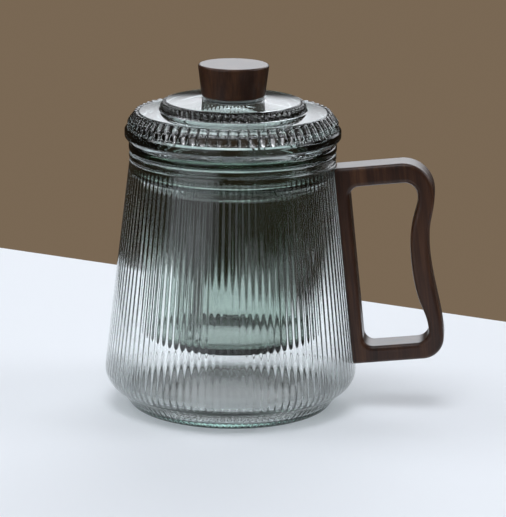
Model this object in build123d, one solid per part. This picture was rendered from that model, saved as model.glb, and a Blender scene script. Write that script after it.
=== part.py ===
from build123d import *
import math
import os

# Lidded tea mug with a drop-in infuser.
# Millimetres, +Z up. The mug's axis is Z, the origin is the centre of the foot
# on the table, and the handle points along +X.

# ---- mug: conical fluted glass ----
WALL_LEAN = 6.55            # degrees that the wall leans from upright
NECK_R = 39.5               # outside radius at the top of the cone
NECK_Z = 97.0
WALL = 2.8                  # glass thickness, square to the wall
RIM_Z = 99.8                # the rim's flat top, which carries the infuser
RIM_R = 39.75               # outside radius of the rim bead
MOUTH_R = 36.6              # inside radius of the mouth
HEEL_Z = 9.6                # where wall and underside would meet if left sharp
HEEL_ROUND = 8.5
CREASE_R = 43.0             # where the underside meets the foot
CREASE_Z = 5.5
FOOT_R = 38.9               # outer and inner edges of the ring that it stands on
FOOT_INNER_R = 35.6
PUNT_Z = 2.2                # hollow under the base
PUNT_R = 32.5
PUNT_DOME = 2.0             # how much higher the hollow is in the middle
MUG_FLUTES = 104            # flutes pressed into the inside of the wall
FLUTE_DEPTH = 0.28
FLUTE_TOP_Z = 94.0

# ---- handle: waisted loop sawn from a walnut board, square to the wall ----
HANDLE_THICK = 14.0
HANDLE_EDGE = 1.8           # rounding of its long edges
HANDLE_Z = 15.0             # height on the wall that its outline is measured from
HANDLE_LOW = 2.8            # outline heights, measured up the wall
HANDLE_HIGH = 80.3
LOOP_LOW = 9.3
LOOP_HIGH = 72.6
BAR = 4.4                   # width of the bar that lies on the glass
BAR_SINK = 3.0              # how far the blank reaches in before it is scooped
BOND = 0.3                  # clear adhesive between wood and glass
BOND_WIDTH = 10.0
BOND_MARGIN = 3.5           # adhesive stops short of the bar's two ends

# ---- infuser: smoked glass basket hung from its flange ----
FLANGE_R = 39.9
FLANGE = 3.0
BASKET_NECK_R = 35.7
BASKET_NECK_Z = 90.5        # bottom of the neck
BASKET_R = 30.4             # under the shoulder
BASKET_SHOULDER_Z = 86.5
BASKET_FOOT_R = 29.2
BASKET_Z = 25.8             # underside
BASKET_DOME = 1.5           # how much higher the underside is in the middle
BASKET_WALL = 2.5
BASKET_FLOOR = 3.0
SLIT_GROUPS = 4
SLITS_IN_GROUP = 3
SLIT_WIDTH = 1.0
SLIT_HEIGHT = 7.0
SLIT_Z = 31.0               # bottom of the slits
SLIT_STEP = 7.0             # degrees from slit to slit
SLIT_FIRST_GROUP = -24.0    # degrees from the handle to the middle slit

# ---- lid: thick pressed glass with two belts of ribs ----
LID_R = 41.5
SEAT_R = 12.8               # flat seat under the knob
SEAT_Z = 120.4
CROWN_R = 25.8
CROWN_Z = 117.7
LEDGE_R = 28.3
LEDGE_Z = 115.4
SHOULDER_R = 36.0
SHOULDER_Z = 114.0
BELT_R = 41.0               # bottom of the ribbed shoulder
BELT_Z = 108.6
SKIRT_R = 32.4              # ring that drops into the infuser
SKIRT_INNER_R = 29.2
SKIRT_Z = 92.0
CEILING_Z = 116.2
LID_RIBS = 64               # in each of the two belts
RIB_PROUD = 0.9
RIB_ROOT = 0.5              # how far the valleys of the star lie under the glass
LID_HOLE_R = 2.75

# ---- knob and its fixing ----
KNOB_LOW_R = 12.1
KNOB_TOP_R = 13.66
KNOB_TOP_Z = 133.1
KNOB_ROUND = 0.9
UPPER_GASKET = 0.3
UPPER_GASKET_R = 9.5
LOWER_GASKET = 1.0
LOWER_GASKET_R = 7.0
WASHER = 0.8
WASHER_R = 6.0
WASHER_HOLE_R = 2.15
SCREW_R = 2.0
SCREW_LENGTH = 14.0
HEAD_R = 4.0
HEAD = 2.6
HEAD_ROUND = 0.8
KEY_ACROSS_FLATS = 2.5
KEY_DEPTH = 1.3
INSERT_R = 3.2
INSERT_LENGTH = 9.0

LID_Z = RIM_Z + FLANGE                              # flange top, where the lid sits
LEAN = math.radians(WALL_LEAN)
KNOB_Z = SEAT_Z + UPPER_GASKET
HEAD_TOP_Z = CEILING_Z - LOWER_GASKET - WASHER


def wall_r(z):
    """Outside radius of the mug's cone at height z."""
    return NECK_R + (NECK_Z - z) * math.tan(LEAN)


HEEL_R = wall_r(HEEL_Z)


def turned(corners):
    """Solid turned about Z from (radius, height, rounding) corners, in order."""
    section = make_face(Polyline(*[(r, z) for r, z, rounding in corners], close=True))
    for r, z, rounding in corners:
        if rounding:
            corner = section.vertices().sort_by_distance((r, z, 0))[0]
            section = fillet(corner, rounding)
    return revolve(Plane.XZ * section, Axis.Z)


def disc(radius, low, height):
    """Plain disc on the axis, with its underside at height low."""
    return Pos(0, 0, low) * Cylinder(radius, height, align=(Align.CENTER, Align.CENTER, Align.MIN))


def dome(radius, low, height):
    """Shallow dome on the axis that rises from height low, with 1 mm of disc under it."""
    ball_r = (radius ** 2 + height ** 2) / (2 * height)
    ball = Pos(0, 0, low + height - ball_r) * Sphere(ball_r)
    return ball & disc(radius, low - 1, height + 2)


def star(z, crest_r, root_r, count):
    """Star-shaped face at height z, with count crests between two radii."""
    points = []
    for i in range(2 * count):
        r = crest_r if i % 2 == 0 else root_r
        turn = math.pi * i / count
        points.append((r * math.cos(turn), r * math.sin(turn)))
    return Plane.XY.offset(z) * make_face(Polyline(*points, close=True))


def fluted(levels, count):
    """Solid through star faces, given as (height, mean radius, flute depth)."""
    faces = [star(z, r + depth / 2, r - depth / 2, count) for z, r, depth in levels]
    return loft(faces, ruled=True)


# The flutes are on the inside, so the outside stays smooth to hold. They follow the
# wall down, turn with the heel and die away on the floor. Every level has the same
# number of points at the same angles, so the loft makes one clean strip per flank.
def mug_cavity():
    inner_round = HEEL_ROUND - WALL
    underside = math.atan2(HEEL_Z - CREASE_Z, HEEL_R - CREASE_R)
    heel_turn = math.pi / 2 + LEAN - underside
    tangent_z = HEEL_Z + HEEL_ROUND * math.tan(heel_turn / 2) * math.cos(LEAN)
    centre_r = wall_r(tangent_z) - HEEL_ROUND * math.cos(LEAN)
    centre_z = tangent_z - HEEL_ROUND * math.sin(LEAN)
    levels = []
    for angle, share in ((0, 0.2), (30, 0.6), (60, 1), (90 + WALL_LEAN, 1)):
        a = math.radians(angle)
        r = centre_r + inner_round * math.sin(a)
        z = centre_z - inner_round * math.cos(a)
        levels.append((z, r, share * FLUTE_DEPTH))
    inset = WALL / math.cos(LEAN)
    levels.append((FLUTE_TOP_Z, wall_r(FLUTE_TOP_Z) - inset, FLUTE_DEPTH))
    levels.append((NECK_Z, MOUTH_R, 0))
    levels.append((RIM_Z + 1, MOUTH_R, 0))
    return fluted(levels, MUG_FLUTES)


def mug_body():
    outside = turned([
        (0, PUNT_Z, 0),
        (PUNT_R, PUNT_Z, 1.5),
        (FOOT_INNER_R, 0, 0.8),
        (FOOT_R, 0, 0.9),
        (CREASE_R, CREASE_Z, 1.0),
        (HEEL_R, HEEL_Z, HEEL_ROUND),
        (wall_r(NECK_Z - 0.8), NECK_Z - 0.8, 0),
        (NECK_R - 0.35, NECK_Z - 0.3, 0.3),
        (RIM_R, NECK_Z + 0.3, 0.4),
        (RIM_R, RIM_Z, 1.2),
        (0, RIM_Z, 0),
    ])
    return outside - dome(PUNT_R - 2, PUNT_Z, PUNT_DOME) - mug_cavity()


def loop_edge(left, low, high, low_round, high_round, left_round, grip):
    """Closed outline of the loop: square at the wall, waisted at the grip.

    grip lists points up the grip. Its first and last are where the rounded
    corners end, and the curve leaves both of them straight up.
    """
    first, last = grip[0], grip[-1]
    low_end = (first[0] - low_round, low)
    high_end = (last[0] - high_round, high)
    outline = [
        Line((left, low), low_end),
        RadiusArc(low_end, first, -low_round),
        Spline(*grip, tangents=((0, 1), (0, 1))),
        RadiusArc(last, high_end, -high_round),
        Line(high_end, (left, high)),
        Line((left, high), (left, low)),
    ]
    face = make_face(outline)
    if left_round:
        corners = face.vertices().filter_by_position(Axis.X, left - 0.01, left + 0.01)
        face = fillet(corners, left_round)
    return face


def handle_plane():
    """Plane of the handle's outline: X out from the wall, Y up along it."""
    return Plane(
        origin=(wall_r(HANDLE_Z), 0, HANDLE_Z),
        x_dir=(math.cos(LEAN), 0, math.sin(LEAN)),
        z_dir=(0, -1, 0),
    )


def cone_outside(gap):
    """Everything within the mug's cone, grown outwards by gap."""
    low, high = -10.0, RIM_Z + 20
    grow = gap / math.cos(LEAN)
    return turned([(0, low, 0), (wall_r(low) + grow, low, 0), (wall_r(high) + grow, high, 0), (0, high, 0)])


def handle():
    outer = loop_edge(
        -BAR_SINK, HANDLE_LOW, HANDLE_HIGH, 8.5, 12.1, 0,
        [(35.5, 11.3), (34.5, 24.5), (32.8, 42), (34.2, 56), (36.7, 68.2)],
    )
    inner = loop_edge(
        BAR, LOOP_LOW, LOOP_HIGH, 5.0, 5.0, 4.0,
        [(29.9, 14.3), (27.6, 25), (25.6, 42.5), (27.3, 56.5), (30.3, 67.6)],
    )
    blank = extrude(handle_plane() * (outer - inner), HANDLE_THICK / 2, both=True)
    faces = blank.faces().sort_by(Axis.Y)
    blank = fillet(faces[0].edges() + faces[-1].edges(), HANDLE_EDGE)
    return blank - cone_outside(BOND)


def handle_bond():
    length = HANDLE_HIGH - HANDLE_LOW - 2 * BOND_MARGIN
    middle = (HANDLE_HIGH + HANDLE_LOW) / 2
    strip = handle_plane() * Pos(0, middle, 0) * Box(2 * BAR, length, BOND_WIDTH)
    return (strip & cone_outside(BOND)) - cone_outside(0)


def drain_slits():
    """Slits low in the basket's wall, in evenly spread groups."""
    depth = 2 * BASKET_WALL + 2
    slits = []
    for group in range(SLIT_GROUPS):
        for i in range(SLITS_IN_GROUP):
            turn = SLIT_FIRST_GROUP + 360 / SLIT_GROUPS * group + SLIT_STEP * (i - 1)
            middle = Pos(BASKET_R - BASKET_WALL / 2, 0, SLIT_Z + SLIT_HEIGHT / 2)
            slits.append(Rot(0, 0, turn) * middle * Box(depth, SLIT_WIDTH, SLIT_HEIGHT))
    return slits


def infuser():
    inner_r = BASKET_NECK_R - BASKET_WALL
    glass = turned([
        (0, BASKET_Z, 0),
        (BASKET_FOOT_R, BASKET_Z, 1.5),
        (BASKET_R, BASKET_SHOULDER_Z, 2.0),
        (BASKET_NECK_R, BASKET_NECK_Z, 2.0),
        (BASKET_NECK_R, RIM_Z, 0.6),
        (FLANGE_R, RIM_Z, 1.0),
        (FLANGE_R, LID_Z, 1.2),
        (inner_r, LID_Z, 0.6),
        (inner_r, BASKET_NECK_Z + 1, 2.0),
        (BASKET_R - BASKET_WALL, BASKET_SHOULDER_Z + 1, 2.0),
        (BASKET_FOOT_R - BASKET_WALL, BASKET_Z + BASKET_FLOOR, 5.0),
        (0, BASKET_Z + BASKET_FLOOR, 0),
    ])
    return glass - dome(BASKET_FOOT_R - 2, BASKET_Z, BASKET_DOME) - drain_slits()


def rib_belt(top, bottom, count):
    """Belt of ribs down a slope, from (radius, height) top to bottom."""
    def along(share):
        return (top[0] + share * (bottom[0] - top[0]), top[1] + share * (bottom[1] - top[1]))

    levels = []
    for share, proud in ((0.04, -0.1), (0.25, RIB_PROUD), (0.8, RIB_PROUD), (1.0, -0.1)):
        r, z = along(share)
        root = r - RIB_ROOT
        crest = r + proud
        levels.append((z, (crest + root) / 2, crest - root))
    return fluted(levels[::-1], count)


def lid():
    glass = turned([
        (0, SKIRT_Z, 0),
        (SKIRT_R, SKIRT_Z, 0.8),
        (SKIRT_R, LID_Z, 0.6),
        (LID_R - 2.2, LID_Z, 1.2),
        (LID_R, BELT_Z - 2.6, 1.5),
        (LID_R, BELT_Z - 0.6, 0.5),
        (SHOULDER_R, SHOULDER_Z, 1.5),
        (LEDGE_R, LEDGE_Z, 0.8),
        (CROWN_R, CROWN_Z, 1.2),
        (SEAT_R, SEAT_Z, 3.0),
        (0, SEAT_Z, 0),
    ])
    glass += rib_belt((SHOULDER_R, SHOULDER_Z), (BELT_R, BELT_Z), LID_RIBS)
    glass += rib_belt((CROWN_R, CROWN_Z), (LEDGE_R, LEDGE_Z), LID_RIBS)
    hollow = turned([
        (0, SKIRT_Z - 1, 0),
        (SKIRT_INNER_R, SKIRT_Z - 1, 0),
        (SKIRT_INNER_R - 1, CROWN_Z - 7.7, 6.0),
        (SEAT_R - 0.8, CEILING_Z, 6.0),
        (0, CEILING_Z, 0),
    ])
    return glass - hollow - disc(LID_HOLE_R, CEILING_Z - 1, 10)


def lid_knob():
    wood = turned([
        (0, KNOB_Z, 0),
        (KNOB_LOW_R, KNOB_Z, KNOB_ROUND),
        (KNOB_TOP_R, KNOB_TOP_Z, KNOB_ROUND),
        (0, KNOB_TOP_Z, 0),
    ])
    return wood - disc(INSERT_R, KNOB_Z - 1, INSERT_LENGTH + 1)


def knob_insert():
    return disc(INSERT_R, KNOB_Z, INSERT_LENGTH) - disc(SCREW_R, KNOB_Z - 1, INSERT_LENGTH + 2)


def knob_screw():
    head_z = HEAD_TOP_Z - HEAD
    head = turned([
        (0, head_z, 0),
        (HEAD_R, head_z, HEAD_ROUND),
        (HEAD_R, HEAD_TOP_Z, 0),
        (0, HEAD_TOP_Z, 0),
    ])
    hexagon = RegularPolygon(KEY_ACROSS_FLATS / 2, 6, major_radius=False)
    key = extrude(Plane.XY.offset(head_z) * hexagon, KEY_DEPTH)
    return head + disc(SCREW_R, HEAD_TOP_Z, SCREW_LENGTH) - key


def knob_washer():
    ring = disc(WASHER_R, HEAD_TOP_Z, WASHER)
    return ring - disc(WASHER_HOLE_R, HEAD_TOP_Z - 1, WASHER + 2)


def gasket_lower():
    low = CEILING_Z - LOWER_GASKET
    return disc(LOWER_GASKET_R, low, LOWER_GASKET) - disc(WASHER_HOLE_R, low - 1, LOWER_GASKET + 2)


def gasket_upper():
    ring = disc(UPPER_GASKET_R, SEAT_Z, UPPER_GASKET)
    return ring - disc(INSERT_R, SEAT_Z - 1, UPPER_GASKET + 2)


PIECES = {
    "mug_body": mug_body,
    "handle": handle,
    "handle_bond": handle_bond,
    "infuser": infuser,
    "lid": lid,
    "lid_knob": lid_knob,
    "knob_insert": knob_insert,
    "knob_screw": knob_screw,
    "knob_washer": knob_washer,
    "gasket_lower": gasket_lower,
    "gasket_upper": gasket_upper,
}

os.makedirs("parts", exist_ok=True)
for name, make in PIECES.items():
    export_step(make(), f"parts/{name}.step")
    print("wrote", name)
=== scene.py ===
# %% [markdown]
# # A lidded tea mug in fluted glass and walnut
# The model starts from a CAD frame: every solid piece of the mug, each on the body it moves
# with. This lesson dresses that frame. The glass pieces are built again as fine meshes,
# because glass shows every facet. The wooden and metal pieces keep their CAD shapes and
# get materials with grain and wear.

# %% Load the frame and keep its size
import math

import bmesh
import bpy
from mathutils import Matrix, Vector


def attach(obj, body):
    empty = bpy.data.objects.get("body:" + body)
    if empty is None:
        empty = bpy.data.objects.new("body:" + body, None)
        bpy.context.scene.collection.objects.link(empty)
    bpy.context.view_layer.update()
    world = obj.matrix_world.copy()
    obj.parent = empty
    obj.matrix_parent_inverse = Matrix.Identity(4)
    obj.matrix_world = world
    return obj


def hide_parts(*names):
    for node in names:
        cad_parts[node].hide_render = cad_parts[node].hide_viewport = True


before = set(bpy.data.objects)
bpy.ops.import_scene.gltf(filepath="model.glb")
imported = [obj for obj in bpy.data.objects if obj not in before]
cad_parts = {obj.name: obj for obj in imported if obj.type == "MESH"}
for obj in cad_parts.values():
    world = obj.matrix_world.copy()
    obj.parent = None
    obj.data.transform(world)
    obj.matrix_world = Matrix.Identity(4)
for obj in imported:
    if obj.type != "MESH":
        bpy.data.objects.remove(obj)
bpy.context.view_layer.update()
MM = 0.001

# %% [markdown]
# ## Where the camera stands
# A product picture of a mug is taken with a long lens from about a metre, a little above the
# rim. A long lens keeps the sides of the mug nearly parallel. The camera's place and turn are
# written as a distance, a height and three angles, so each can be changed by itself.

# %% Place the camera
SENSOR = 0.036                              # metres, along the long side of the picture
LENS = 0.1786
CAMERA_DISTANCE = 0.9642
CAMERA_HEIGHT = 0.2987
CAMERA_TURN = math.radians(5.5)             # round the mug, towards the handle
LOOK_DOWN = math.radians(14.081)
LOOK_ASIDE = math.radians(0.490)
ROLL = math.radians(0.695)


def camera_axes():
    """Right, up and back directions of the camera, from its angles."""
    heading = CAMERA_TURN - LOOK_ASIDE
    ahead = Vector((
        -math.sin(heading) * math.cos(LOOK_DOWN),
        math.cos(heading) * math.cos(LOOK_DOWN),
        -math.sin(LOOK_DOWN),
    ))
    level_right = ahead.cross(Vector((0, 0, 1))).normalized()
    level_up = level_right.cross(ahead)
    right = math.cos(ROLL) * level_right + math.sin(ROLL) * level_up
    up = math.cos(ROLL) * level_up - math.sin(ROLL) * level_right
    return right, up, -ahead


def around_mug(turn, distance, height):
    """Point round the mug: turn 0 is in front of it, and a positive turn is towards the handle."""
    return Vector((distance * math.sin(turn), -distance * math.cos(turn), height))


camera_data = bpy.data.cameras.new("camera")
camera_data.sensor_width = SENSOR / MM
camera_data.lens = LENS / MM
camera = bpy.data.objects.new("camera", camera_data)
bpy.context.scene.collection.objects.link(camera)
camera_place = around_mug(CAMERA_TURN, CAMERA_DISTANCE, CAMERA_HEIGHT)
camera.matrix_world = Matrix.Translation(camera_place) @ Matrix(camera_axes()).transposed().to_4x4()
bpy.context.scene.camera = camera
bpy.context.scene.view_settings.view_transform = "Standard"
print("camera stands at", [round(v, 3) for v in camera_place])

# %% [markdown]
# ## How a turned shape becomes a mesh
# The mug, the infuser and the lid are all round, so each one is drawn as half a section and
# turned about the upright axis. A section is a list of corners, and a corner may have a
# radius, which becomes a short arc. Blender's Screw modifier could do the turning. Writing
# the rings by hand is as short, and it lets every vertex be lifted a little off the turned
# surface, which is how the flutes and ribs are made.

# %% [markdown]
# Smooth shading blends the directions of the two faces that meet at each ring. On a long
# face next to a bend, that blend reaches all the way along it and turns straight glass into
# a weak lens. So each long face gets a guard point close to both of its ends, and the blend
# stays inside a fifth of a millimetre.

# %% Guard the long faces
GUARD = 0.2                                 # millimetres, as every size of glass here
LONG_FACE = 6 * GUARD


def guarded(points):
    """The same section with a guard point near both ends of each long straight."""
    kept = [points[0]]
    for here, after in zip(points, points[1:]):
        span = after - here
        if span.length > LONG_FACE:
            kept.append(here + span * GUARD / span.length)
            kept.append(after - span * GUARD / span.length)
        kept.append(after)
    return kept


print("a 10 mm straight gets", len(guarded([Vector((0, 0)), Vector((10, 0))])) - 2, "guard points")

# %% Round the corners of a section
ARC_STEP = math.radians(12)
FEWEST_STEPS = 3


def rounded(corners):
    """Section points from (radius, height, rounding) corners, all in millimetres."""
    points = []
    for i, (r, z, rounding) in enumerate(corners):
        here = Vector((r, z))
        if not rounding:
            points.append(here)
            continue
        to_last = (Vector(corners[i - 1][:2]) - here).normalized()
        to_next = (Vector(corners[i + 1][:2]) - here).normalized()
        opening = to_last.angle(to_next)
        centre = here + (to_last + to_next).normalized() * rounding / math.sin(opening / 2)
        first = here + to_last * rounding / math.tan(opening / 2) - centre
        last = here + to_next * rounding / math.tan(opening / 2) - centre
        sweep = first.angle_signed(last)
        steps = max(FEWEST_STEPS, math.ceil(abs(sweep) / ARC_STEP))
        for step in range(steps + 1):
            turn = -sweep * step / steps
            spun = Vector((
                first.x * math.cos(turn) - first.y * math.sin(turn),
                first.x * math.sin(turn) + first.y * math.cos(turn),
            ))
            points.append(centre + spun)
    return guarded(points)


sample = rounded([(0, 0, 0), (10, 0, 2), (10, 10, 0)])
print("two straights and a 2 mm corner take", len(sample), "points")

# %% Hollow the middle of an underside
DOME_STEPS = 5


def domed(radius, low, height):
    """Section points of a shallow dome, from the axis out to its edge at height low."""
    ball = (radius ** 2 + height ** 2) / (2 * height)
    points = []
    for step in range(DOME_STEPS):
        r = radius * step / DOME_STEPS
        points.append(Vector((r, low + height - ball + math.sqrt(ball ** 2 - r ** 2))))
    return points


print("a 2 mm dome takes", len(domed(30, 0, 2)), "points")

# %% Turn a section about the axis
ON_AXIS = 1e-6


def section_normals(points, is_loop):
    """Unit normals of a section, pointing out of the solid on the right of its direction."""
    normals = []
    last = len(points) - 1
    for i in range(len(points)):
        before = points[i - 1] if is_loop else points[max(i - 1, 0)]
        after = points[(i + 1) % len(points)] if is_loop else points[min(i + 1, last)]
        along = (after - before).normalized()
        normals.append(Vector((along.y, -along.x)))
    return normals


def turned_mesh(name, points, columns, relief=None):
    """Smooth closed mesh of a section turned about Z.

    The section starts and ends on the axis, or else it is a loop round a central hole.
    relief(index, turn) lifts the surface off the section by that many millimetres.
    """
    is_loop = points[0].x > ON_AXIS
    normals = section_normals(points, is_loop)
    vertices = []
    rings = []
    for i, point in enumerate(points):
        if point.x < ON_AXIS:
            rings.append([len(vertices)])
            vertices.append((0, 0, point.y * MM))
            continue
        rings.append(list(range(len(vertices), len(vertices) + columns)))
        for column in range(columns):
            turn = 2 * math.pi * column / columns
            lift = relief(i, turn) if relief else 0
            r = (point.x + lift * normals[i].x) * MM
            z = (point.y + lift * normals[i].y) * MM
            vertices.append((r * math.cos(turn), r * math.sin(turn), z))
    faces = []
    if is_loop:
        rings.append(rings[0])
    for low, high in zip(rings, rings[1:]):
        for column in range(columns):
            after = (column + 1) % columns
            if len(low) == 1:
                faces.append((low[0], high[after], high[column]))
            elif len(high) == 1:
                faces.append((low[column], low[after], high[0]))
            else:
                faces.append((low[column], low[after], high[after], high[column]))
    mesh = bpy.data.meshes.new(name)
    mesh.from_pydata(vertices, [], faces)
    mesh.polygons.foreach_set("use_smooth", [True] * len(mesh.polygons))
    piece = bpy.data.objects.new(name, mesh)
    bpy.context.scene.collection.objects.link(piece)
    print(name, "has", len(faces), "faces")
    return piece


# %% [markdown]
# ## Glass that shows its thickness
# Clear glass has no colour at its surface. What tints it is the way that light goes through
# it, so the tint is a volume that absorbs: thin walls stay clear, and thick rims and floors
# turn darker, as they do on real glass. Pressed glass is never quite even either, so a very
# faint bump makes its reflections swim a little.

# %% Start a material
def new_material(name):
    """Empty node material and a function that adds nodes to it."""
    material = bpy.data.materials.new(name)
    material.use_nodes = True
    material.node_tree.nodes.clear()

    def add(kind, **settings):
        node = material.node_tree.nodes.new(kind)
        for setting, value in settings.items():
            setattr(node, setting, value)
        return node

    return material, add, material.node_tree.links.new


print("a material starts empty, and each finish adds its own nodes")

# %% Make a glass
GLASS_IOR = 1.5


def glass(name, absorbed, density, waviness):
    """Glass that is clear at its surface and absorbs colour on the way through it."""
    material, add, link = new_material(name)
    place = add("ShaderNodeTexCoord")
    swell = add("ShaderNodeTexNoise")
    swell.inputs["Scale"].default_value = 140
    swell.inputs["Detail"].default_value = 1
    link(place.outputs["Object"], swell.inputs["Vector"])
    bump = add("ShaderNodeBump")
    bump.inputs["Strength"].default_value = 1
    bump.inputs["Distance"].default_value = waviness * MM
    link(swell.outputs["Fac"], bump.inputs["Height"])
    surface = add("ShaderNodeBsdfPrincipled")
    surface.inputs["Base Color"].default_value = (1, 1, 1, 1)
    surface.inputs["Transmission Weight"].default_value = 1
    surface.inputs["IOR"].default_value = GLASS_IOR
    surface.inputs["Roughness"].default_value = 0
    link(bump.outputs["Normal"], surface.inputs["Normal"])
    depth = add("ShaderNodeVolumeAbsorption")
    depth.inputs["Color"].default_value = (*absorbed, 1)
    depth.inputs["Density"].default_value = density
    end = add("ShaderNodeOutputMaterial")
    link(surface.outputs["BSDF"], end.inputs["Surface"])
    link(depth.outputs["Volume"], end.inputs["Volume"])
    return material


clear_glass = glass("clear glass", (0.70, 0.79, 0.77), 60, 0.004)
lid_glass = glass("lid glass", (0.70, 0.79, 0.79), 45, 0.003)
smoked_glass = glass("smoked glass", (0.42, 0.56, 0.48), 330, 0.005)
print("clear glass for the mug, a little less tint for the lid, and smoked for the infuser")

# %% [markdown]
# ## The mug
# The wall is a cone that narrows to the neck, with a round heel and a low foot. The flutes
# are pressed into the inside, so the outside stays smooth. They are very shallow: a quarter
# of a millimetre is enough to bend light into stripes, because every flute is a small lens.
# The glass is thin all over: the inside follows heel and foot, and the floor lies just above
# the table. The bends of heel and foot turn light back inside the glass, and that draws the
# dark fringe round the base. Faint ribs run over the outside of the foot, one for each
# flute. The underside is a very shallow dome.

# %% Size of the mug
WALL_LEAN = math.radians(6.55)
NECK_R, NECK_Z = 39.5, 97.0
RIM_R, RIM_Z = 39.75, 99.8
MOUTH_R = 36.6
WALL = 2.8
HEEL_Z, HEEL_ROUND = 9.6, 8.5
CREASE_R, CREASE_Z = 43.0, 5.5
FOOT_R, FOOT_INNER_R = 38.9, 35.6
PUNT_R, PUNT_Z, PUNT_DOME = 32.5, 1.1, 0.5  # the hollow under the base
DOME_MARGIN = 2.0                           # flat ring between a dome and the edge round it
FLOOR_Z, FLOOR_ROUND = 3.0, 3.0


def wall_r(z):
    """Outside radius of the mug's cone at height z."""
    return NECK_R + (NECK_Z - z) * math.tan(WALL_LEAN)


print("the cone widens from", 2 * NECK_R, "to", round(2 * wall_r(HEEL_Z), 1), "mm")

# %% Find the corners inside the wall
def inner_corner(before, corner, after):
    """Corner that lies one wall's thickness inside a corner of the outside."""
    to_before = (before - corner).normalized()
    to_after = (after - corner).normalized()
    middle = (to_before + to_after).normalized()
    if middle.x > 0:
        middle = -middle
    return corner + middle * WALL / math.sin(to_before.angle(to_after) / 2)


neck = Vector((NECK_R, NECK_Z))
heel = Vector((wall_r(HEEL_Z), HEEL_Z))
crease = Vector((CREASE_R, CREASE_Z))
foot = Vector((FOOT_R, 0))
inner_heel = inner_corner(neck, heel, crease)
inner_crease = inner_corner(heel, crease, foot)
floor_r = inner_crease.x + (foot.x - crease.x) * (inner_crease.y - FLOOR_Z) / CREASE_Z
print("heel radius", round(heel.x, 2), "mm, inside floor out to", round(floor_r, 2), "mm")

# %% Draw the mug's section
FLUTE_TOP_Z, FLUTE_END_R = 94.0, 16.0       # a flute ends here on the wall and on the floor
FADE_RING = 8.0                             # width of the last ring that the flutes fade over
inset = WALL / math.cos(WALL_LEAN)
outside = domed(PUNT_R - DOME_MARGIN, PUNT_Z, PUNT_DOME) + rounded([
    (PUNT_R - DOME_MARGIN, PUNT_Z, 0),
    (PUNT_R, PUNT_Z, 0.5),
    (FOOT_INNER_R, 0, 0.8),
    (FOOT_R, 0, 0.9),
    (FOOT_R + 1.4, 2.2, 0),
    (FOOT_R + 2.7, 3.8, 0),
    (*crease, 1.0),
    (*heel, HEEL_ROUND),
    (wall_r(NECK_Z - 0.8), NECK_Z - 0.8, 0),
    (NECK_R - 0.35, NECK_Z - 0.3, 0.3),
    (RIM_R, NECK_Z + 0.3, 0.4),
    (RIM_R, RIM_Z, 1.2),
    (MOUTH_R, RIM_Z, 1.0),
    (MOUTH_R, NECK_Z - 0.2, 1.0),
    (wall_r(FLUTE_TOP_Z + 0.8) - inset, FLUTE_TOP_Z + 0.8, 0),
])
inside = rounded([
    (wall_r(FLUTE_TOP_Z) - inset, FLUTE_TOP_Z, 0),
    (*inner_heel, HEEL_ROUND - WALL),
    (*inner_crease, 3.0),
    (floor_r, FLOOR_Z, FLOOR_ROUND),
    (FLUTE_END_R + FADE_RING, FLOOR_Z, 0),
    (FLUTE_END_R, FLOOR_Z, 0),
    (0, FLOOR_Z, 0),
])
mug_section = outside + inside
print("the mug's section has", len(outside), "points outside and", len(inside), "inside")

# %% Turn the mug with its flutes
FLUTES = 104
FLUTE_SWING = 0.14                          # half of the flutes' depth
FOOT_RIB = 0.14                             # half of the depth of the ribs on the foot
FOOT_RIB_R, FOOT_RIB_Z = FOOT_R - 0.3, 0.5  # they start clear of the edge that it stands on
COLUMNS_IN_FLUTE = 7


def flutes(index, turn):
    """Lift of the glass at a point of the mug's section: ribs on the foot, flutes inside."""
    r, z = mug_section[index]
    wave = math.cos(FLUTES * turn)
    if index < len(outside):
        on_foot = FOOT_RIB_R < r < CREASE_R and FOOT_RIB_Z < z < CREASE_Z
        return FOOT_RIB * wave if on_foot else 0
    across_floor = (r - FLUTE_END_R) / (floor_r - FLUTE_END_R)
    return FLUTE_SWING * min(1, max(0, across_floor)) * wave


mug = turned_mesh("fluted_mug", mug_section, FLUTES * COLUMNS_IN_FLUTE, flutes)
mug.data.materials.append(clear_glass)
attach(mug, "mug")
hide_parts("mug_body")

# %% [markdown]
# ## The infuser
# The infuser is a cup of smoked glass that hangs from its flange on the rim of the mug. Its
# floor is thinner than its wall and slightly domed from below. Low in the wall are groups
# of upright slits that let the tea through. A boolean could cut them, but it leaves ragged
# shading on glass. Here the mesh has rings at both ends of the slits and a column on each
# side of them, so the faces in between can be left out and the hole walled up.

# %% Size of the infuser
FLANGE_R, FLANGE = 39.9, 3.0
BASKET_NECK_R, BASKET_NECK_Z = 35.7, 90.5
BASKET_R, BASKET_SHOULDER_Z = 30.4, 86.5
BASKET_FOOT_R, BASKET_Z, BASKET_DOME = 29.2, 25.8, 0.9
BASKET_WALL, BASKET_FLOOR = 2.5, 1.6
REST_GAP = 0.03                             # air between glass pieces that rest on each other
lid_z = RIM_Z + FLANGE
print("the infuser hangs", round(RIM_Z - BASKET_Z, 1), "mm down into the mug")

# %% Turn the infuser, with a ring at both ends of its slits
BASKET_COLUMNS = 360                        # one for each degree
SLIT_HEIGHT, SLIT_Z = 7.0, 31.0


def with_level(points, height):
    """The same section with a point wherever it crosses a height."""
    kept = [points[0]]
    for here, after in zip(points, points[1:]):
        if (here.y - height) * (after.y - height) < 0:
            share = (height - here.y) / (after.y - here.y)
            kept.append(Vector((here.x + share * (after.x - here.x), height)))
        kept.append(after)
    return kept


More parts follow.
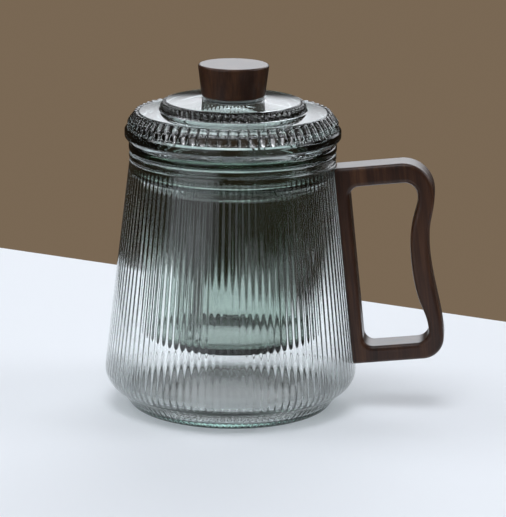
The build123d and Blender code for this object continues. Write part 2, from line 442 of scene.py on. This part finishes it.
inner_neck_r = BASKET_NECK_R - BASKET_WALL
slit_top = SLIT_Z + SLIT_HEIGHT
basket_section = domed(BASKET_FOOT_R - DOME_MARGIN, BASKET_Z, BASKET_DOME) + rounded([
    (BASKET_FOOT_R - DOME_MARGIN, BASKET_Z, 0),
    (BASKET_FOOT_R, BASKET_Z, 1.5),
    (BASKET_R, BASKET_SHOULDER_Z, 2.0),
    (BASKET_NECK_R, BASKET_NECK_Z, 2.0),
    (BASKET_NECK_R, RIM_Z + REST_GAP, 0.6),
    (FLANGE_R, RIM_Z + REST_GAP, 1.0),
    (FLANGE_R, lid_z, 1.2),
    (inner_neck_r, lid_z, 0.6),
    (inner_neck_r, BASKET_NECK_Z + 1, 2.0),
    (BASKET_R - BASKET_WALL, BASKET_SHOULDER_Z + 1, 2.0),
    (BASKET_FOOT_R - BASKET_WALL, BASKET_Z + BASKET_FLOOR, 2.8),
    (0, BASKET_Z + BASKET_FLOOR, 0),
])
basket_section = with_level(with_level(basket_section, SLIT_Z), slit_top)
basket = turned_mesh("infuser_glass", basket_section, BASKET_COLUMNS)
basket.data.materials.append(smoked_glass)
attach(basket, "infuser")
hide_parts("infuser")

# %% Find the basket's walls at the slits
SLIT_COLUMNS = 2
first_low, last_low = [i for i, point in enumerate(basket_section) if point.y == SLIT_Z]
first_top, last_top = [i for i, point in enumerate(basket_section) if point.y == slit_top]
walls = [(first_low, first_top), (last_top, last_low)]
shell = bmesh.new()
shell.from_mesh(basket.data)
shell.verts.ensure_lookup_table()


def basket_vertex(ring, column):
    """Vertex of the basket's mesh. The first ring is the single point on the axis."""
    return shell.verts[1 + (ring - 1) * BASKET_COLUMNS + column % BASKET_COLUMNS]


def patch(ring, next_ring, column):
    """The four vertices on two rings, from one column to the next."""
    corners = ((ring, column), (ring, column + 1), (next_ring, column + 1), (next_ring, column))
    return [basket_vertex(*corner) for corner in corners]


def open_slit(first):
    """Take both walls out between two columns, and wall up the sides of the hole."""
    end = first + SLIT_COLUMNS
    for column in range(first, end):
        for low, high in walls:
            for ring in range(low, high):
                shell.faces.remove(shell.faces.get(patch(ring, ring + 1, column)))
        shell.faces.new(patch(first_low, last_low, column))
        shell.faces.new(patch(last_top, first_top, column))
    hole = list(range(first_low, first_top + 1)) + list(range(last_top, last_low + 1))
    shell.faces.new([basket_vertex(ring, first) for ring in reversed(hole)])
    shell.faces.new([basket_vertex(ring, end) for ring in hole])


print("a slit goes through rings", walls[0], "outside and", walls[1], "inside")

# %% Open the slits
SLIT_GROUPS, SLITS_IN_GROUP = 4, 3
SLIT_STEP = 7                               # columns from slit to slit
FIRST_SLIT = -32                            # column at the first slit's edge

slits = [
    FIRST_SLIT + group * BASKET_COLUMNS // SLIT_GROUPS + number * SLIT_STEP
    for group in range(SLIT_GROUPS)
    for number in range(SLITS_IN_GROUP)
]
for slit in slits:
    open_slit(slit)
loose = [edge for edge in shell.edges if not edge.link_faces]
bmesh.ops.delete(shell, geom=loose, context="EDGES")
open_edges = sum(edge.is_boundary for edge in shell.edges)
shell.to_mesh(basket.data)
shell.free()
print(len(slits), "slits, and", open_edges, "open edges left")

# %% [markdown]
# ## The lid
# The lid is thick pressed glass: a flat crown under the knob, a short ribbed riser, a flat
# shoulder and a ribbed slope down to the brim. A skirt below drops into the infuser. The
# ribs are convex and end in round drops, which catch the light one by one.

# %% Size of the lid
LID_R = 41.5
SEAT_R, SEAT_Z = 12.8, 120.4
CROWN_R, CROWN_Z = 25.8, 119.1
LEDGE_R, LEDGE_Z = 28.3, 115.4
SHOULDER_R, SHOULDER_Z = 36.0, 115.0
BELT_R, BELT_Z = 41.0, 108.6
SKIRT_R, SKIRT_INNER_R, SKIRT_Z = 32.4, 29.2, 92.0
CEILING_Z = 116.2
LID_HOLE_R = 2.75
print("the lid is", 2 * LID_R, "mm across and", round(SEAT_Z - SKIRT_Z, 1), "mm high")

# %% Draw the lid's section from the hole outwards and back
SHOULDER_LEVELS, CROWN_LEVELS = 16, 8
RISER_START = 0.2                           # the riser's levels start this far off the shelf


def slope(start, end, levels):
    """Points between two (radius, height) ends of a slope, with the ends left out."""
    return [Vector(start).lerp(Vector(end), level / levels) for level in range(1, levels)]


lid_under = rounded([
    (LID_HOLE_R, CEILING_Z, 0),
    (SEAT_R - 0.8, CEILING_Z, 6.0),
    (SKIRT_INNER_R - 1, CEILING_Z - 6.2, 6.0),
    (SKIRT_INNER_R, SKIRT_Z, 1.0),
    (SKIRT_R, SKIRT_Z, 0.8),
    (SKIRT_R, lid_z + REST_GAP, 0.6),
    (LID_R - 2.2, lid_z + REST_GAP, 1.2),
    (LID_R, BELT_Z - 3.2, 1.3),
    (LID_R, BELT_Z - 0.6, 0.5),
    (BELT_R, BELT_Z, 0),
])
belt = slope((BELT_R, BELT_Z), (SHOULDER_R, SHOULDER_Z), SHOULDER_LEVELS)
shelf = rounded([
    (BELT_R, BELT_Z, 0),
    (SHOULDER_R, SHOULDER_Z, 1.0),
    (LEDGE_R, LEDGE_Z, 0.6),
    (CROWN_R, CROWN_Z, 0),
])[1:-1]
riser_start = (LEDGE_R - RISER_START, LEDGE_Z + RISER_START)
riser = slope(riser_start, (CROWN_R, CROWN_Z), CROWN_LEVELS)
lid_crown = rounded([
    (LEDGE_R, LEDGE_Z, 0),
    (CROWN_R, CROWN_Z, 0.5),
    (SEAT_R, SEAT_Z, 3.0),
    (LID_HOLE_R, SEAT_Z, 0),
])[1:]
lid_section = lid_under + belt + shelf + riser + lid_crown
first_belt = len(lid_under)
first_riser = first_belt + len(belt) + len(shelf)
print("the lid's section has", len(lid_section), "points")

# %% Shape a rib
RIB_POWER = 2.6                             # 2 is a round back, more is flatter with steep sides


def rib(across, from_end, room, width, proud):
    """Height of a rib: a cushion with a round lower end, never higher than it has room for."""
    if from_end < 0:
        return 0
    half = width / 2
    end = max(0, 1 - from_end / half)
    left = 1 - abs(across / half) ** RIB_POWER - end ** RIB_POWER
    return min(proud * max(0, left) ** (1 / RIB_POWER), room)


print("halfway to its side, a rib keeps", round(rib(1, 9, 9, 4, 1), 2), "of its height")

# %% Turn the lid with its ribs
LID_RIBS = 64                               # in each of the two belts
SHOULDER_RIB, CROWN_RIB = 1.1, 0.8          # how far the ribs stand proud
BELT_MARGIN, RISER_MARGIN = 1.0, 0.2        # plain glass below the ribs
SHOULDER_CUT_Z, CROWN_CUT_Z = SHOULDER_Z, CROWN_Z + 1
CUT_SLOPE = 1.4                             # room for a rib at each millimetre under its cut
COLUMNS_IN_RIB = 12


def lid_ribs(index, turn):
    """Lift of the glass at a point of the lid's section."""
    point = lid_section[index]
    if first_belt <= index < first_belt + len(belt):
        proud, cut_z = SHOULDER_RIB, SHOULDER_CUT_Z
        from_end = (point - belt[0]).length - BELT_MARGIN
    elif first_riser <= index < first_riser + len(riser):
        proud, cut_z = CROWN_RIB, CROWN_CUT_Z
        from_end = (point - riser[0]).length - RISER_MARGIN
    else:
        return 0
    width = 2 * math.pi * point.x / LID_RIBS
    across = ((turn * LID_RIBS / (2 * math.pi) + 0.5) % 1 - 0.5) * width
    return rib(across, from_end, (cut_z - point.y) * CUT_SLOPE, width, proud)


lid = turned_mesh("ribbed_lid", lid_section, LID_RIBS * COLUMNS_IN_RIB, lid_ribs)
lid.data.materials.append(lid_glass)
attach(lid, "lid")
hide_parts("lid")

# %% [markdown]
# ## Walnut
# The handle is sawn from a board and the knob is turned, both with the grain upright. Walnut
# is made of long fibres, slow bands of darker and paler wood, and fine open pores. All three
# are noise that is stretched along the grain. Oil leaves a low sheen, so the wood has a thin
# coat over a rougher surface.

# %% Make walnut
def walnut(name, lean):
    """Oiled walnut with its grain along an upright that leans by an angle about Y."""
    material, add, link = new_material(name)
    place = add("ShaderNodeTexCoord")
    upright = add("ShaderNodeMapping")
    upright.inputs["Rotation"].default_value = (0, lean, 0)
    link(place.outputs["Object"], upright.inputs["Vector"])

    def stretched(scale, along, detail):
        squeeze = add("ShaderNodeMapping")
        squeeze.inputs["Scale"].default_value = (scale, scale, along)
        link(upright.outputs["Vector"], squeeze.inputs["Vector"])
        noise = add("ShaderNodeTexNoise")
        noise.inputs["Scale"].default_value = 1
        noise.inputs["Detail"].default_value = detail
        noise.inputs["Roughness"].default_value = 0.6
        link(squeeze.outputs["Vector"], noise.inputs["Vector"])
        return noise.outputs["Fac"]

    bands = stretched(160, 12, 3)
    fibres = stretched(1400, 60, 4)
    pores = stretched(2600, 260, 2)
    tone = add("ShaderNodeValToRGB")
    tone.color_ramp.elements[0].position = 0.32
    tone.color_ramp.elements[0].color = (0.012, 0.0045, 0.002, 1)
    tone.color_ramp.elements[1].position = 0.72
    tone.color_ramp.elements[1].color = (0.110, 0.045, 0.018, 1)
    middle = tone.color_ramp.elements.new(0.5)
    middle.color = (0.040, 0.014, 0.006, 1)
    blend = add("ShaderNodeMix", data_type="FLOAT")
    blend.inputs["Factor"].default_value = 0.4
    link(bands, blend.inputs["A"])
    link(fibres, blend.inputs["B"])
    link(blend.outputs["Result"], tone.inputs["Fac"])
    bump = add("ShaderNodeBump")
    bump.inputs["Strength"].default_value = 0.6
    bump.inputs["Distance"].default_value = 0.05 * MM
    link(pores, bump.inputs["Height"])
    sheen = add("ShaderNodeMapRange")
    sheen.inputs["To Min"].default_value = 0.34
    sheen.inputs["To Max"].default_value = 0.55
    link(fibres, sheen.inputs["Value"])
    surface = add("ShaderNodeBsdfPrincipled")
    surface.inputs["IOR"].default_value = 1.28
    surface.inputs["Coat Weight"].default_value = 1
    surface.inputs["Coat IOR"].default_value = 1.28
    surface.inputs["Coat Roughness"].default_value = 0.3
    link(tone.outputs["Color"], surface.inputs["Base Color"])
    link(sheen.outputs["Result"], surface.inputs["Roughness"])
    link(bump.outputs["Normal"], surface.inputs["Normal"])
    end = add("ShaderNodeOutputMaterial")
    link(surface.outputs["BSDF"], end.inputs["Surface"])
    return material


handle_walnut = walnut("handle walnut", WALL_LEAN)
knob_walnut = walnut("knob walnut", 0)
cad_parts["handle"].material_slots[0].material = handle_walnut
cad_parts["lid_knob"].material_slots[0].material = knob_walnut
print("walnut on the handle and the knob")

# %% [markdown]
# ## The knob's fixing
# A steel screw comes up through the lid into a brass insert in the knob. Two soft rings keep
# metal and wood off the glass. All of these were turned, punched or moulded, so the metals
# carry fine rings round their axis, and the silicone and the adhesive are slightly cloudy.

# %% Make the turned metals
def turned_metal(name, colour, roughness):
    """Metal with the fine rings that a lathe leaves round the Z axis."""
    material, add, link = new_material(name)
    place = add("ShaderNodeTexCoord")
    rings = add("ShaderNodeTexWave", wave_type="RINGS", rings_direction="Z")
    rings.inputs["Scale"].default_value = 900
    rings.inputs["Distortion"].default_value = 1.5
    rings.inputs["Detail"].default_value = 2
    link(place.outputs["Object"], rings.inputs["Vector"])
    stain = add("ShaderNodeTexNoise")
    stain.inputs["Scale"].default_value = 400
    link(place.outputs["Object"], stain.inputs["Vector"])
    shade = add("ShaderNodeMix", data_type="RGBA")
    shade.inputs["A"].default_value = (*colour, 1)
    shade.inputs["B"].default_value = (*[0.7 * c for c in colour], 1)
    link(stain.outputs["Fac"], shade.inputs["Factor"])
    polish = add("ShaderNodeMapRange")
    polish.inputs["To Min"].default_value = roughness
    polish.inputs["To Max"].default_value = roughness + 0.15
    link(stain.outputs["Fac"], polish.inputs["Value"])
    bump = add("ShaderNodeBump")
    bump.inputs["Strength"].default_value = 0.4
    bump.inputs["Distance"].default_value = 0.01 * MM
    link(rings.outputs["Fac"], bump.inputs["Height"])
    surface = add("ShaderNodeBsdfPrincipled")
    surface.inputs["Metallic"].default_value = 1
    link(shade.outputs["Result"], surface.inputs["Base Color"])
    link(polish.outputs["Result"], surface.inputs["Roughness"])
    link(bump.outputs["Normal"], surface.inputs["Normal"])
    end = add("ShaderNodeOutputMaterial")
    link(surface.outputs["BSDF"], end.inputs["Surface"])
    return material


brass = turned_metal("machined brass", (0.78, 0.56, 0.26), 0.22)
steel = turned_metal("satin steel", (0.60, 0.60, 0.61), 0.28)
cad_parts["knob_insert"].material_slots[0].material = brass
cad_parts["knob_screw"].material_slots[0].material = steel
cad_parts["knob_washer"].material_slots[0].material = steel
print("brass insert, steel screw and washer")

# %% Make the silicone and the adhesive
def cloudy(name, clear, milky, roughness, see_through, ior):
    """Soft translucent material that is clearer in some places than in others."""
    material, add, link = new_material(name)
    place = add("ShaderNodeTexCoord")
    clouds = add("ShaderNodeTexNoise")
    clouds.inputs["Scale"].default_value = 260
    clouds.inputs["Detail"].default_value = 4
    link(place.outputs["Object"], clouds.inputs["Vector"])
    shade = add("ShaderNodeMix", data_type="RGBA")
    shade.inputs["A"].default_value = (*clear, 1)
    shade.inputs["B"].default_value = (*milky, 1)
    link(clouds.outputs["Fac"], shade.inputs["Factor"])
    bump = add("ShaderNodeBump")
    bump.inputs["Strength"].default_value = 0.3
    bump.inputs["Distance"].default_value = 0.02 * MM
    link(clouds.outputs["Fac"], bump.inputs["Height"])
    surface = add("ShaderNodeBsdfPrincipled")
    surface.inputs["Roughness"].default_value = roughness
    surface.inputs["Transmission Weight"].default_value = see_through
    surface.inputs["IOR"].default_value = ior
    link(shade.outputs["Result"], surface.inputs["Base Color"])
    link(bump.outputs["Normal"], surface.inputs["Normal"])
    end = add("ShaderNodeOutputMaterial")
    link(surface.outputs["BSDF"], end.inputs["Surface"])
    return material


silicone = cloudy("silicone", (0.62, 0.66, 0.65), (0.80, 0.82, 0.81), 0.5, 0.55, 1.41)
adhesive = cloudy("adhesive", (0.90, 0.92, 0.91), (0.97, 0.98, 0.97), 0.12, 0.92, 1.48)
for ring in ("gasket_lower", "gasket_upper"):
    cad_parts[ring].material_slots[0].material = silicone
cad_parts["handle_bond"].material_slots[0].material = adhesive
print("silicone rings and clear adhesive")

# %% [markdown]
# ## Table, backdrop and light
# Glass has almost no look of its own: it shows what is around it. It stands on a pale table
# in front of a plain warm backdrop, and soft windows light it: two large ones, and three
# small bright ones that give the glass its sparkle. The table is small, so the backdrop
# shows behind the upper half of the mug.

# %% Set the table
TABLE_WIDE, TABLE_DEEP, TABLE_THICK = 480.0, 340.0, 18.0
TABLE_TURN = math.radians(-22.9)
TABLE_BACK = 163.0                          # from the mug's axis to the edge behind it
TABLE_GAP = 0.02                            # keeps the foot's glass off the table's faces
TABLE_EDGE, EDGE_STEPS = 3.0, 4
slab = bmesh.new()
bmesh.ops.create_cube(slab, size=1)
bmesh.ops.scale(slab, vec=Vector((TABLE_WIDE, TABLE_DEEP, TABLE_THICK)) * MM, verts=slab.verts)
bmesh.ops.bevel(
    slab,
    geom=slab.edges,
    offset=TABLE_EDGE * MM,
    segments=EDGE_STEPS,
    profile=0.5,
    affect="EDGES",
)
away = TABLE_BACK - TABLE_DEEP / 2
middle = Vector((
    -away * math.sin(TABLE_TURN),
    away * math.cos(TABLE_TURN),
    -TABLE_THICK / 2 - TABLE_GAP,
))
slab.transform(Matrix.Translation(middle * MM) @ Matrix.Rotation(TABLE_TURN, 4, "Z"))
table_mesh = bpy.data.meshes.new("table")
slab.to_mesh(table_mesh)
slab.free()
table = bpy.data.objects.new("table", table_mesh)
bpy.context.scene.collection.objects.link(table)
print("table reaches", [round(v / MM) for v in table.dimensions], "mm")

# %% Cover the table
table_material, add, link = new_material("pale table")
paper = add("ShaderNodeBsdfPrincipled")
paper.inputs["Base Color"].default_value = (0.85, 0.87, 0.90, 1)
paper.inputs["Roughness"].default_value = 0.8
end = add("ShaderNodeOutputMaterial")
link(paper.outputs["BSDF"], end.inputs["Surface"])
table.data.materials.append(table_material)
print("matt pale paper on the table")

# %% [markdown]
# Whoever takes pictures of glass stands dark cards just outside the view. The glass bends
# and mirrors them, and that draws its edges and flutes in dark lines. The same is done here
# with the world, which asks what kind of ray is looking. The camera sees the plain backdrop.
# Glass and gloss see a darker one. A ray that has already met something matt gets the soft
# light of the room, and more of it when it arrives through glass, because real glass
# gathers light onto the table that it stands on.

# %% Ask what kind of ray is looking
MANY_WALLS = 3.5                            # a ray is layered after more passes through glass
world = bpy.data.worlds.new("room")
bpy.context.scene.world = world
world.use_nodes = True
room = world.node_tree
room.nodes.clear()
path = room.nodes.new("ShaderNodeLightPath")
looking = room.nodes.new("ShaderNodeTexCoord")


def sums(operation, *values):
    """Result of a sum in the world's nodes, from sockets or plain numbers."""
    node = room.nodes.new("ShaderNodeMath")
    node.operation = operation
    for side, value in enumerate(values):
        if isinstance(value, bpy.types.NodeSocket):
            room.links.new(value, node.inputs[side])
        else:
            node.inputs[side].default_value = value
    return node.outputs["Value"]


not_yet_matt = sums("LESS_THAN", path.outputs["Diffuse Depth"], 0.5)
bent = sums("MULTIPLY", path.outputs["Is Transmission Ray"], not_yet_matt)
mirrored = sums("MULTIPLY", path.outputs["Is Glossy Ray"], not_yet_matt)
bent_or_mirrored = sums("MAXIMUM", bent, mirrored)
many_walls = sums("GREATER_THAN", path.outputs["Transmission Depth"], MANY_WALLS)
layered = sums("MULTIPLY", many_walls, not_yet_matt)
under_glass = sums("SUBTRACT", path.outputs["Is Transmission Ray"], bent)
print("the world tells bent, mirrored, layered and matt rays apart")

# %% Paint the backdrop and the room
ROOM_LIGHT, ROOM_COLOUR = 0.33, (0.95, 0.97, 1, 1)
GATHERED_LIGHT = 2.0                        # what glass focuses onto the table under it
BACKDROP = (0.19, 0.137, 0.088, 1)
DARK_CARDS = 0.16                           # the backdrop's strength for glass and gloss


def background(colour, strength):
    """A plain background of the world. Its strength is a number or a socket."""
    node = room.nodes.new("ShaderNodeBackground")
    node.inputs["Color"].default_value = colour
    if isinstance(strength, bpy.types.NodeSocket):
        room.links.new(strength, node.inputs["Strength"])
    else:
        node.inputs["Strength"].default_value = strength
    return node.outputs["Background"]


def choose(chance, otherwise, chosen):
    """Mix of two backgrounds by a ray question that is answered with 0 or 1."""
    node = room.nodes.new("ShaderNodeMixShader")
    room.links.new(chance, node.inputs[0])
    room.links.new(otherwise, node.inputs[1])
    room.links.new(chosen, node.inputs[2])
    return node.outputs["Shader"]


room_strength = sums("MULTIPLY_ADD", under_glass, GATHERED_LIGHT, ROOM_LIGHT)
soft_room = background(ROOM_COLOUR, room_strength)
dark_cards = background(BACKDROP, DARK_CARDS)
plain_backdrop = background(BACKDROP, 1)
around = choose(bent_or_mirrored, soft_room, dark_cards)
print("backdrop", BACKDROP[:3], "and", DARK_CARDS, "of it in glass")

# %% [markdown]
# The windows are painted in the world too. Each one hangs in a direction, fades out towards
# its edges, and says how much of its light still counts after it has gone through many
# walls of glass. A low share keeps the smoked infuser dark, and a high one makes the ribs
# of the lid glitter.

# %% Hang the windows
WINDOW_FADE = 0.6                           # share of a window's width that fades to nothing


def soft_window(turn, lift, half_width, half_height, brightness, after_walls, colour):
    """Light of a large window in the direction of a turn and a lift above the horizon.

    The halves are tangents of what it covers, and after_walls is its share for layered rays.
    """
    outwards = around_mug(turn, math.cos(lift), math.sin(lift))
    across = Vector((math.cos(turn), math.sin(turn), 0))

    def towards(axis):
        node = room.nodes.new("ShaderNodeVectorMath")
        node.operation = "DOT_PRODUCT"
        room.links.new(looking.outputs["Generated"], node.inputs[0])
        node.inputs[1].default_value = axis
        return node.outputs["Value"]

    ahead = towards(outwards)
    seen = sums("GREATER_THAN", ahead, 0)
    for axis, half in ((across, half_width), (across.cross(outwards), half_height)):
        off = sums("ABSOLUTE", sums("DIVIDE", towards(axis), ahead))
        fade = room.nodes.new("ShaderNodeMapRange")
        fade.interpolation_type = "SMOOTHSTEP"
        fade.inputs["From Min"].default_value = half * (1 - WINDOW_FADE)
        fade.inputs["From Max"].default_value = half
        fade.inputs["To Min"].default_value = 1
        fade.inputs["To Max"].default_value = 0
        room.links.new(off, fade.inputs["Value"])
        seen = sums("MULTIPLY", seen, fade.outputs["Result"])
    lost = sums("MULTIPLY", layered, brightness * (1 - after_walls))
    strength = sums("MULTIPLY", seen, sums("SUBTRACT", brightness, lost))
    return background((*colour, 1), strength)


def together(one, other):
    """Both lights at once."""
    node = room.nodes.new("ShaderNodeAddShader")
    room.links.new(one, node.inputs[0])
    room.links.new(other, node.inputs[1])
    return node.outputs["Shader"]


WHITE, BLUISH = (0.92, 0.95, 1.0), (0.86, 0.92, 1.0)
windows = (                                 # turn, lift, halves, brightness, after walls, colour
    (172, 27, 0.70, 0.42, 2.6, 0.2, WHITE),
    (-38, 12, 0.65, 0.50, 1.2, 1.0, BLUISH),
    (-10, 75, 0.32, 0.32, 5.0, 3.0, WHITE),
    (95, 30, 0.35, 0.30, 3.5, 1.0, WHITE),
    (-95, 45, 0.32, 0.30, 3.0, 1.3, WHITE),
)
light = around
for turn, lift, *rest in windows:
    light = together(light, soft_window(math.radians(turn), math.radians(lift), *rest))
sky = room.nodes.new("ShaderNodeOutputWorld")
room.links.new(choose(path.outputs["Is Camera Ray"], light, plain_backdrop), sky.inputs["Surface"])
print(len(windows), "windows in a world of", len(room.nodes), "nodes")
